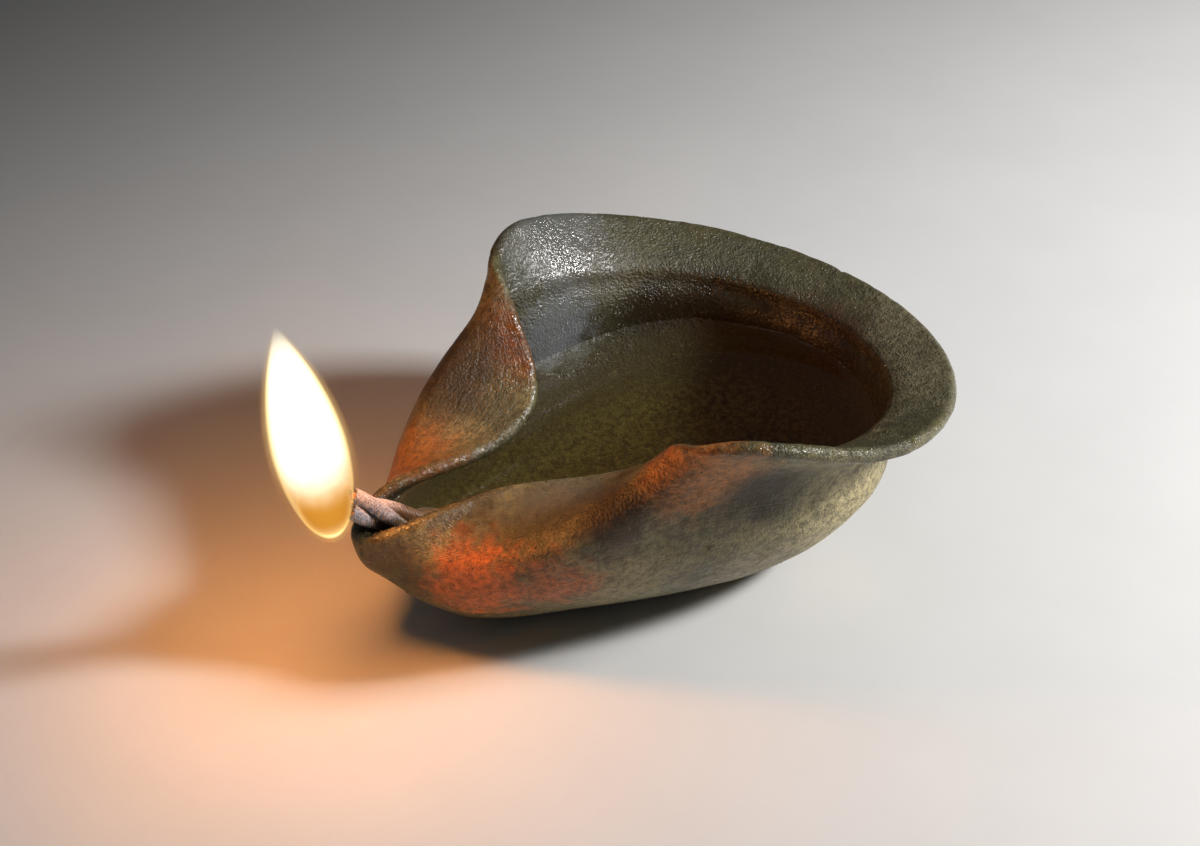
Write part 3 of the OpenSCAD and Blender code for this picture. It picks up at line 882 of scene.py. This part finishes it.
@dataclass
class PinchedSaucer:
    """The rule of the bowl's surface: rings of stations, smoothed both ways. Sizes in metres.

    Each ring has stations on the +Y side, and their mirror images. The first four lie on a
    thrown circle; the rest follow the pinched front: cheek, corner, fold, throat, spout root,
    spout and tip.
    """

    back: float = 60.5 * MM
    rise: float = 6.7
    rim: tuple[float, float] = (49.5 * MM, 35 * MM)
    neck: tuple[float, float] = (34 * MM, 29 * MM)
    shoulder: tuple[float, float] = (38 * MM, 20 * MM)
    belly: tuple[float, float] = (34 * MM, 12 * MM)
    foot: tuple[float, float] = (20 * MM, 0.0)
    floor_clay: float = 5 * MM
    wall_clay: float = 3.6 * MM
    lip_clay: float = 3 * MM
    step_degrees: float = 28
    last_thrown_degrees: float = 82
    fine_around: int = 22
    fine_up: int = 14
    lip_pinch: tuple = ((-4, 46, 55), (-14, 37, 54), (-13, 27, 40), (-15, 13, 28), (-38, 3, 31),
                        (-55, 8, 33), (-69, 0, 25))
    neck_pinch: tuple = ((-3, 34, 40), (-16, 32, 41), (-27, 31, 38), (-37, 26, 32), (-46, 16, 27),
                         (-56, 9, 24), (-66, 0, 20))
    belly_pinch: tuple = ((-5, 37, 19), (-20, 34, 19), (-33, 29, 18), (-45, 22, 16), (-53, 15, 14),
                          (-57, 8, 15), (-60, 0, 15))
    foot_pinch: tuple = ((0, 19, 0), (-11, 16, 0), (-23, 12, 0), (-32, 9, 0), (-40, 6, 0),
                         (-44, 3, 0), (-45, 0, 0))
    shoulder_blend: float = 0.55
    floor_blend: float = 0.5
    ledge_at: float = 0.835
    ledge_height: float = 0.9 * MM
    ledge_step: float = 0.022
    ledge_run: float = 0.13
    ledge_fade: float = 0.10
    hollow_run: float = 0.10
    hollow_fade: float = 0.08
    hollow_depth: float = 0.5
    outside_span: tuple[float, float] = (1 / 2, 5 / 6)
    outside_share: tuple = (0.5, 0.5, 0.5, 0.5, 0.7, 1, 1, 1, 0.6, 0.4, 0.4)
    thrown_share: tuple = (1, 1, 1, 0.9, 0.6, 0.3, 0.2, 0.2, 0.2, 0.15, 0.1)

    def __post_init__(self) -> None:
        """Works the surface, its outward directions and its clay out once."""
        rings = self._rings()
        up, up_slope = self._weights_up(len(rings))
        around, around_slope = self._weights_around(rings.shape[1])
        self.surface = np.einsum("vi,ijk,uj->vuk", up, rings, around)
        to_next = np.einsum("vi,ijk,uj->vuk", up, rings, around_slope)
        self.upward = np.einsum("vi,ijk,uj->vuk", up_slope, rings, around)
        outward = np.cross(to_next, self.upward)
        outward[0] = (0, 0, -1)
        self.outward = outward / np.linalg.norm(outward, axis=2, keepdims=True)
        self.upward /= np.maximum(np.linalg.norm(self.upward, axis=2, keepdims=True), 1e-9)
        self.rows, self.columns = self.surface.shape[:2]
        self.profile = np.linspace(0, 1, self.rows)
        self.thrown = around @ self._mirrored(np.array(self.thrown_share))
        share = around @ self._mirrored(np.array(self.outside_share))
        start, end = self.outside_span
        ease = self._smooth((self.profile - start) / (end - start))
        self.clay = np.interp(self.profile, (0, 0.5, 1), (self.floor_clay, self.wall_clay, self.lip_clay))
        self.outside = self.clay[:, None] * share[None, :] * ease[:, None]
        above = self.profile - self.ledge_at
        under = np.clip(above / self.ledge_step, 0, 1)
        over = np.clip((self.ledge_run - above) / self.ledge_fade, 0, 1)
        below = np.clip((above + self.hollow_run) / self.hollow_fade, 0, 1) * (1 - under)
        ledge = self._smooth(under) * over - self.hollow_depth * below * below
        self.ledge = self.ledge_height * ledge[:, None] * self.thrown[None, :]

    @staticmethod
    def _smooth(share: np.ndarray) -> np.ndarray:
        """Returns shares eased smoothly between 0 and 1."""
        share = np.clip(share, 0, 1)
        return share * share * (3 - 2 * share)

    @staticmethod
    def _mirrored(half: np.ndarray) -> np.ndarray:
        """Returns a half ring's values followed by those of its mirror image."""
        return np.concatenate([half, half[-2:0:-1]])

    def _ring(self, size: tuple[float, float], pinch: np.ndarray) -> np.ndarray:
        """Returns one ring's stations.

        Args:
            size: The thrown radius and height.
            pinch: The pinched stations, in metres.

        Returns:
            The stations of the whole ring.
        """
        radius, height = size
        angles = np.radians([0, self.step_degrees, 2 * self.step_degrees, self.last_thrown_degrees])
        swell = 3 / (2 + math.cos(math.radians(self.step_degrees)))
        x = self.back - self.rim[0] + swell * radius * np.cos(angles)
        z = height * (1 + self.rise * (self.back - x))
        half = np.vstack([np.stack([x, swell * radius * np.sin(angles), z], 1), pinch])
        mirror = half[-2:0:-1] * (1, -1, 1)
        return np.vstack([half, mirror])

    def _rings(self) -> np.ndarray:
        """Returns every ring from below the middle of the foot to above the lip."""
        pinches = (self.lip_pinch, self.neck_pinch, self.belly_pinch, self.foot_pinch)
        lip, neck, belly, foot = (np.array(pinch) * MM for pinch in pinches)
        shoulder = belly * (1 - self.shoulder_blend) + neck * self.shoulder_blend
        foot_ring = self._ring(self.foot, foot)
        middle = np.zeros_like(foot_ring)
        floor = foot_ring * self.floor_blend
        neck_ring = self._ring(self.neck, neck)
        lip_ring = self._ring(self.rim, lip)
        return np.array([
            -floor, middle, floor, foot_ring, self._ring(self.belly, belly),
            self._ring(self.shoulder, shoulder), neck_ring, lip_ring, 2 * lip_ring - neck_ring,
        ])

    @staticmethod
    def _weights(t: float) -> tuple[list[float], list[float]]:
        """Returns four neighbours' weights and their slopes, at t between the middle two."""
        flat = [(1 - t) ** 3, 3 * t**3 - 6 * t**2 + 4, -3 * t**3 + 3 * t**2 + 3 * t + 1, t**3]
        steep = [-3 * (1 - t) ** 2, 9 * t**2 - 12 * t, -9 * t**2 + 6 * t + 3, 3 * t**2]
        return [w / 6 for w in flat], [w / 6 for w in steep]

    def _weights_up(self, rings: int) -> tuple[np.ndarray, np.ndarray]:
        """Returns the weights of the rings, and their slopes, for each row of the surface."""
        rows = (rings - 3) * self.fine_up + 1
        flat, steep = np.zeros((rows, rings)), np.zeros((rows, rings))
        for row in range(rows):
            span = min(row // self.fine_up, rings - 4)
            near = slice(span, span + 4)
            flat[row, near], steep[row, near] = self._weights(row / self.fine_up - span)
        return flat, steep

    def _weights_around(self, stations: int) -> tuple[np.ndarray, np.ndarray]:
        """Returns the weights of the stations, and their slopes, for each column of the surface."""
        columns = stations * self.fine_around
        flat, steep = np.zeros((columns, stations)), np.zeros((columns, stations))
        for column in range(columns):
            first, part = divmod(column, self.fine_around)
            places = [(first + k) % stations for k in (-1, 0, 1, 2)]
            flat[column, places], steep[column, places] = self._weights(part / self.fine_around)
        return flat, steep

    def outer(self, row: int) -> np.ndarray:
        """Returns one row of the outer skin."""
        return self.surface[row] + self.outward[row] * self.outside[row][:, None]

    def inner(self, row: int, gap: float = 0) -> np.ndarray:
        """Returns one row of the inner skin, moved further in by a gap."""
        inward = self.clay[row] + gap - self.outside[row] + self.ledge[row]
        return self.surface[row] - self.outward[row] * inward[:, None]

    def lip_row(self, angle: float) -> np.ndarray:
        """Returns one row of the rounded lip, from the outside at a quarter turn to the inside."""
        half = self.lip_clay / 2
        shift = (self.outside[-1] - half + half * math.sin(angle))[:, None]
        return self.surface[-1] + self.outward[-1] * shift + self.upward[-1] * half * (math.cos(angle) - 1)


@dataclass
class Bowl:
    """The clay bowl and the grains of temper in its skin."""

    saucer: PinchedSaucer
    lip_steps: int = 9
    bridge_rows: int = 4
    lip_start: float = 0.86
    lump_depth: float = 0.7 * MM
    lump_waves: float = 55
    ring_depth: float = 0.12 * MM
    rings: float = 34
    pit_depth: float = 0.45 * MM
    pit_waves: float = 210
    chip_depth: float = 0.2 * MM
    grains: float = 38000
    grain_radius: tuple[float, float] = (0.07 * MM, 0.20 * MM)

    def build(self, effects: Effects) -> list[Object]:
        """Makes the bowl's pieces and puts them on the lamp's body.

        Args:
            effects: The shared shader groups.

        Returns:
            The bowl and its grit.
        """
        clay = FiredClay().material(effects)
        bowl = settled(
            self._skin(), worked_clay_tree(), Lump_Depth=self.lump_depth, Lump_Waves=self.lump_waves,
            Ring_Depth=self.ring_depth, Rings=self.rings, Pit_Depth=self.pit_depth,
            Pit_Waves=self.pit_waves, Chip_Depth=self.chip_depth, Material=clay,
        )
        grit = bpy.data.objects.new("temper_grit", bowl.data.copy())
        bpy.context.scene.collection.objects.link(grit)
        settled(
            grit, temper_grit_tree(), Grains_for_each_Square_Metre=self.grains,
            Smallest=self.grain_radius[0], Largest=self.grain_radius[1], Seed=11,
            Material=TemperGrit().material(),
        )
        for piece in (bowl, grit):
            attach(piece, LAMP)
        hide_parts("bowl")
        return [bowl, grit]

    def _skin(self) -> Object:
        """Returns the bowl's closed skin: up the outside, over the lip and down the inside."""
        saucer = self.saucer
        wall = range(1, saucer.rows - 1 - self.bridge_rows)
        angles = np.linspace(math.pi / 2, -math.pi / 2, self.lip_steps)
        lip_rows = [saucer.lip_row(angle) for angle in angles]
        top = wall[-1]
        stack = [saucer.outer(row) for row in wall]
        stack += self._bridge(saucer.outer(top), lip_rows[0])
        stack += lip_rows
        stack += self._bridge(lip_rows[-1], saucer.inner(top))
        stack += [saucer.inner(row) for row in reversed(wall)]
        points = np.vstack([[(0, 0, 0)], *stack, [(0, 0, saucer.floor_clay)]])
        columns, up = saucer.columns, saucer.profile[1:-1]
        near = np.clip((up - self.lip_start) / (1 - self.lip_start), 0, 1) ** 2
        full, over = np.ones(self.lip_steps), np.linspace(0, 1, self.lip_steps)

        def by_row(*runs: np.ndarray, end: float = 0) -> np.ndarray:
            """Returns one number for each point from runs of one number for each row."""
            return np.concatenate([[0], np.repeat(np.concatenate(runs), columns), [end]])

        values = {
            "profile": by_row(up, full, up[::-1]),
            "inside": by_row(0 * up, over, 0 * up + 1, end=1),
            "lip": by_row(near, full, near[::-1]),
            "thrown": np.concatenate([[0], np.tile(saucer.thrown, len(stack)), [0]]),
        }
        return mesh_object("clay_bowl", points, tube_faces(len(stack), columns), values)

    def _bridge(self, first: np.ndarray, last: np.ndarray) -> list[np.ndarray]:
        """Returns evenly spaced rows between two rows, so that the lip's rounding has no fold."""
        shares = np.arange(1, self.bridge_rows + 1) / (self.bridge_rows + 1)
        return [first * (1 - share) + last * share for share in shares]


# ---- the oil


@dataclass
class OilPool:
    """The pool of oil, which wets the clay and climbs a little up the wall and the wick."""

    saucer: PinchedSaucer
    mouth: Vector
    slope: float
    wick_radius: float
    level: float = 27 * MM
    sunk: float = 0.25 * MM
    rows: int = 24
    across: int = 48
    climb: float = 0.7 * MM
    climb_width: float = 0.9 * MM

    def build(self) -> Object:
        """Makes the pool and puts it on the lamp's body."""
        columns = self.saucer.columns // 2
        wall = np.array([self.saucer.inner(row, -self.sunk)[::2] for row in range(self.saucer.rows)])
        shore = self._shore(wall)
        stack = [self._along(wall, shore * share) for share in np.linspace(0, 1, self.rows + 1)[1:]]
        edge = stack[-1]
        half = columns // 2
        surface = []
        for c in range(1, half):
            shares = np.linspace(0, 1, self.across + 1)[1:-1, None]
            surface.append(edge[c] * (1 - shares) + edge[columns - c] * shares)
        surface = self._risen(np.array(surface), edge)
        edge[:, 2] = self.level + self.climb
        points = np.vstack([wall[0][:1], *stack, surface.reshape(-1, 3)])
        pool = mesh_object("oil_pool", points, self._faces(columns, half))
        pool.data.materials.append(LampOil().material())
        pool.visible_shadow = False
        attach(pool, LAMP)
        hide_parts("oil")
        return pool

    def _shore(self, wall: np.ndarray) -> np.ndarray:
        """Returns, for each column of the wall, the place in rows where it comes up through the oil."""
        above = np.argmax(wall[:, :, 2] > self.level, axis=0)
        column = np.arange(wall.shape[1])
        low, high = wall[above - 1, column, 2], wall[above, column, 2]
        return above - 1 + (self.level - low) / (high - low)

    @staticmethod
    def _along(wall: np.ndarray, place: np.ndarray) -> np.ndarray:
        """Returns the points of the wall's columns at places that need not be whole rows."""
        row = np.minimum(place.astype(int), len(wall) - 2)
        part = (place - row)[:, None]
        column = np.arange(wall.shape[1])
        return wall[row, column] * (1 - part) + wall[row + 1, column] * part

    def _risen(self, surface: np.ndarray, edge: np.ndarray) -> np.ndarray:
        """Returns the surface's points, lifted where the oil climbs the wall and the wick."""
        flat = surface.reshape(-1, 3)
        wall = np.array([np.min(np.hypot(*(edge[:, :2] - p[:2]).T)) for p in flat])
        centre = self.mouth.x + (self.mouth.z - self.level) / math.tan(self.slope)
        wick = np.hypot((flat[:, 0] - centre) * math.sin(self.slope), flat[:, 1]) - self.wick_radius
        lift = np.exp(-wall / self.climb_width) + np.exp(-np.maximum(wick, 0) / self.climb_width)
        flat[:, 2] = self.level + self.climb * np.minimum(lift, 1)
        return flat.reshape(surface.shape)

    def _faces(self, columns: int, half: int) -> list[tuple[int, ...]]:
        """Returns the faces of the pool: the underside's rows and the strips across the top."""
        inside = self.across - 1
        edge = 1 + (self.rows - 1) * columns
        first = 1 + self.rows * columns
        under = tube_faces(self.rows, columns)[:-columns]

        def strip(c: int) -> list[int]:
            """Returns the points of one strip, from the +Y shore to the -Y shore."""
            if c in (0, half):
                return [edge + c] * (inside + 2)
            start = first + (c - 1) * inside
            return [edge + c, *range(start, start + inside), edge + columns - c]

        top = []
        for c in range(half):
            here, there = strip(c), strip(c + 1)
            for k in range(inside + 1):
                face = (there[k], there[k + 1], here[k + 1], here[k])
                top.append(tuple(dict.fromkeys(face)))
        return under + [face for face in top if len(face) > 2]


# ---- the wick and the flame


@dataclass
class TwistedWick:
    """Three plies of yarn twisted into a wick, with burnt tips."""

    mouth: Vector
    slope: float
    radius: float = 3.2 * MM
    plies: int = 3
    outside: float = 1 * MM
    yarn_length: float = 40 * MM
    char_length: float = 8 * MM
    pitch: float = 42 * MM
    gap: float = 0.02 * MM
    strands: int = 10
    yarn_steps: int = 150
    char_steps: int = 32
    ply_radius: float = field(init=False)
    place: Matrix = field(init=False)

    def __post_init__(self) -> None:
        """Works out a ply's radius, and the turn that lays local +Z along the wick."""
        self.ply_radius = self.radius / (1 + 2 / math.sqrt(3))
        self.place = Matrix.Translation(self.mouth) @ Matrix.Rotation(self.slope - math.pi / 2, 4, "Y")

    def build(self) -> list[Object]:
        """Makes the plies and the charred tips, and puts them on the wick's body."""
        tree = twisted_ply_tree()
        yarn, char = WickYarn().material(), CharredYarn().material()
        pieces = []
        for number in range(self.plies):
            pieces.append(self._ply(tree, f"yarn_ply_{number + 1}", number, yarn))
            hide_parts(f"wick_ply_{number + 1}")
        for number in range(self.plies):
            pieces.append(self._tip(tree, f"charred_tip_{number + 1}", number, char))
        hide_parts("charred_end")
        return pieces

    def _laid(self, name: str, tree: NodeTree, **inputs: Value) -> Object:
        """Returns one twisted piece, laid along the wick's axis."""
        piece = settled(
            mesh_object(name, np.zeros((1, 3)), []), tree, Pitch=self.pitch, Strands=self.strands,
            Winding_Radius=self.radius - self.ply_radius, Ply_Radius=self.ply_radius - self.gap, **inputs,
        )
        piece.data.transform(self.place)
        piece.data.shade_smooth()
        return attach(piece, WICK)

    def _ply(self, tree: NodeTree, name: str, number: int, finish: Material) -> Object:
        """Returns one ply of pale yarn."""
        return self._laid(
            name, tree, Start=self.outside - self.yarn_length, Length=self.yarn_length,
            Phase=number / self.plies, Steps=self.yarn_steps, Strand_Pitch=7 * MM, Taper=0.0,
            Fray=0.28 * MM, Hairs_for_each_Square_Metre=420000.0, Hair_Length=1.1 * MM, Seed=number,
            Material=finish,
        )

    def _tip(self, tree: NodeTree, name: str, number: int, finish: Material) -> Object:
        """Returns the burnt end of one ply."""
        return self._laid(
            name, tree, Start=self.outside, Length=self.char_length, Phase=number / self.plies,
            Steps=self.char_steps, Strand_Pitch=9 * MM, Taper=0.35, Fray=0.9 * MM,
            Hairs_for_each_Square_Metre=260000.0, Hair_Length=0.8 * MM, Seed=20 + number, Material=finish,
        )


@dataclass
class Flame:
    """The flame: a glow, the luminous mantle and the dim heart round the wick's end."""

    foot: Vector
    lean: float
    length: float = 50 * MM
    radius: float = 7 * MM
    wide_at: float = 0.42
    taper: float = 0.1
    heart_radius: float = 4.9 * MM
    heart_length: float = 18 * MM
    heart_lift: float = 1 * MM
    glow_width: float = 1.1 * MM
    sides: int = 64
    rows: int = 72
    light_energy: float = 0.14
    light_colour: Colour = (1.0, 0.37, 0.085)
    light_at: float = 0.6

    def build(self) -> list[Object]:
        """Makes the sheaths and the light, and puts the sheaths on the wick's body."""
        mantle = self._sheath("flame_mantle", self.radius, self.length, 0, MANTLE)
        heart = self._sheath("flame_heart", self.heart_radius, self.heart_length, self.heart_lift, HEART)
        wide, low = self.radius + self.glow_width, -self.glow_width
        glow = self._sheath("flame_glow", wide, self.length + 2 * self.glow_width, low, GLOW)
        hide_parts("flame")
        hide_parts("flame_core")
        for piece, slot in ((mantle, "flame_light"), (glow, "flame_light"), (heart, "flame_heart")):
            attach(piece, WICK)
        self._light(mantle)
        return [mantle, heart, glow]

    def _sheath(
        self, name: str, radius: float, length: float, lift: float, finish: FlameLight
    ) -> Object:
        """Returns one drop-shaped sheath round the flame's axis.

        Args:
            name: Name of the piece.
            radius: Its greatest radius.
            length: Its length along the axis.
            lift: Height of its foot above the flame's foot.
            finish: Its finish.

        Returns:
            The sheath, in its place.
        """
        rises = (1 - np.cos(math.pi * np.arange(1, self.rows) / self.rows)) / 2
        turns = TURN * np.arange(self.sides) / self.sides
        ring = np.column_stack([np.cos(turns), np.sin(turns)])
        stack = [
            np.column_stack([ring * radius * self._width(rise), np.full(self.sides, lift + length * rise)])
            for rise in rises
        ]
        points = np.vstack([[(0, 0, lift)], *stack, [(0, 0, lift + length)]])
        rise = np.concatenate([[0], np.repeat(rises, self.sides), [1]])
        piece = mesh_object(name, points, tube_faces(len(stack), self.sides), {"rise": rise})
        piece.data.transform(Matrix.Translation(self.foot) @ Matrix.Rotation(-self.lean, 4, "Y"))
        piece.data.materials.append(finish.material())
        piece.visible_shadow = False
        piece.visible_diffuse = False
        return piece

    def _width(self, rise: float) -> float:
        """Returns the drop's width at a share of its length, as a share of its greatest width."""
        if rise <= self.wide_at:
            return math.sqrt(1 - (1 - rise / self.wide_at) ** 2)
        over = (rise - self.wide_at) / (1 - self.wide_at)
        return (1 - over) * (1 + over) * (1 - self.taper * over)

    def _light(self, mantle: Object) -> None:
        """Adds the warm light that the flame gives, riding with the flame."""
        lamp = bpy.data.lights.new("flame_light", "POINT")
        lamp.color = self.light_colour
        lamp.energy = self.light_energy
        lamp.shadow_soft_size = self.radius
        light = bpy.data.objects.new("flame_light", lamp)
        bpy.context.scene.collection.objects.link(light)
        upward = Vector((-math.sin(self.lean), 0, math.cos(self.lean)))
        light.location = self.foot + upward * self.length * self.light_at
        light.parent = mantle
        light.visible_camera = False


# ---- the studio


@dataclass(frozen=True)
class SoftLamp:
    """One soft studio light, placed by the direction it comes from."""

    name: str
    azimuth: float
    elevation: float
    distance: float
    size: float
    energy: float
    colour: Colour = (1.0, 1.0, 1.0)


@dataclass
class Studio:
    """Pale table, soft lights and the camera."""

    camera_azimuth: float = -32
    camera_elevation: float = 37.5
    camera_distance: float = 0.6
    lens: float = 90
    aim_left: float = 10.4 * MM
    aim_above: float = 24.1 * MM
    lamps: tuple[SoftLamp, ...] = (
        SoftLamp("key", 57.4, 36, 0.56, 0.09, 3.7, (1.0, 0.985, 0.96)),
        SoftLamp("top_window", 150, 72, 0.9, 0.5, 0.2, (0.97, 0.98, 1.0)),
        SoftLamp("far_fill", -120, 40, 1.1, 0.8, 0.2, (0.97, 0.98, 1.0)),
    )
    world_light: float = 0.04
    world_colour: Colour = (0.93, 0.95, 1.0)
    table_reach: float = 3.0

    def build(self) -> None:
        """Makes the table, the lights and the camera."""
        self._table()
        for lamp in self.lamps:
            self._lamp(lamp)
        self._camera()
        world = bpy.data.worlds.new("studio")
        world.use_nodes = True
        sky = world.node_tree.nodes["Background"]
        NodeSheet(world.node_tree).dress(sky, {"Color": self.world_colour, "Strength": self.world_light})
        bpy.context.scene.world = world
        bpy.context.scene.view_settings.view_transform = "Standard"

    @staticmethod
    def _direction(azimuth: float, elevation: float) -> Vector:
        """Returns the direction from the origin to a place, in degrees; azimuth 0 is at -Y."""
        a, e = math.radians(azimuth), math.radians(elevation)
        return Vector((math.sin(a) * math.cos(e), -math.cos(a) * math.cos(e), math.sin(e)))

    def _table(self) -> None:
        """Lays the table under the lamp's foot."""
        corners = np.array([(-1, -1, 0), (1, -1, 0), (1, 1, 0), (-1, 1, 0)]) * self.table_reach
        corners[:, 2] = CAD_BOX[0].z
        table = mesh_object("table_top", corners, [(0, 1, 2, 3)])
        table.data.materials.append(TableTop().material())

    def _lamp(self, lamp: SoftLamp) -> None:
        """Adds one square soft light that faces the origin."""
        light = bpy.data.lights.new(lamp.name, "AREA")
        light.size = lamp.size
        light.energy = lamp.energy
        light.color = lamp.colour
        thing = bpy.data.objects.new(lamp.name, light)
        bpy.context.scene.collection.objects.link(thing)
        toward = self._direction(lamp.azimuth, lamp.elevation)
        thing.location = toward * lamp.distance
        thing.rotation_euler = toward.to_track_quat("Z", "Y").to_euler()

    def _camera(self) -> None:
        """Adds the camera, looking a little left of and above the middle of the foot."""
        back = self._direction(self.camera_azimuth, self.camera_elevation)
        right = Vector((0, 0, 1)).cross(back).normalized()
        above = back.cross(right)
        target = above * self.aim_above - right * self.aim_left
        camera = bpy.data.objects.new("camera", bpy.data.cameras.new("camera"))
        camera.data.lens = self.lens
        camera.data.sensor_width = 36
        camera.data.clip_start = 0.01
        camera.location = back * self.camera_distance
        camera.rotation_euler = (camera.location - target).to_track_quat("Z", "Y").to_euler()
        bpy.context.scene.collection.objects.link(camera)
        bpy.context.scene.camera = camera


# ---- everything together


def report(pieces: list[Object]) -> None:
    """Logs the size of each piece."""
    for piece in pieces:
        LOG.info("%s: %d points, %d faces", piece.name, len(piece.data.vertices), len(piece.data.polygons))


def main() -> None:
    """Builds the lamp and the studio."""
    logging.basicConfig(level=logging.INFO, format="%(message)s")
    effects = Effects()
    saucer = PinchedSaucer()
    wick = TwistedWick(WICK_MOUTH, WICK_SLOPE)
    report(Bowl(saucer).build(effects))
    report([OilPool(saucer, WICK_MOUTH, WICK_SLOPE, wick.radius).build()])
    report(wick.build())
    report(Flame(FLAME_FOOT, FLAME_LEAN).build())
    Studio().build()


if __name__ == "__main__":
    main()
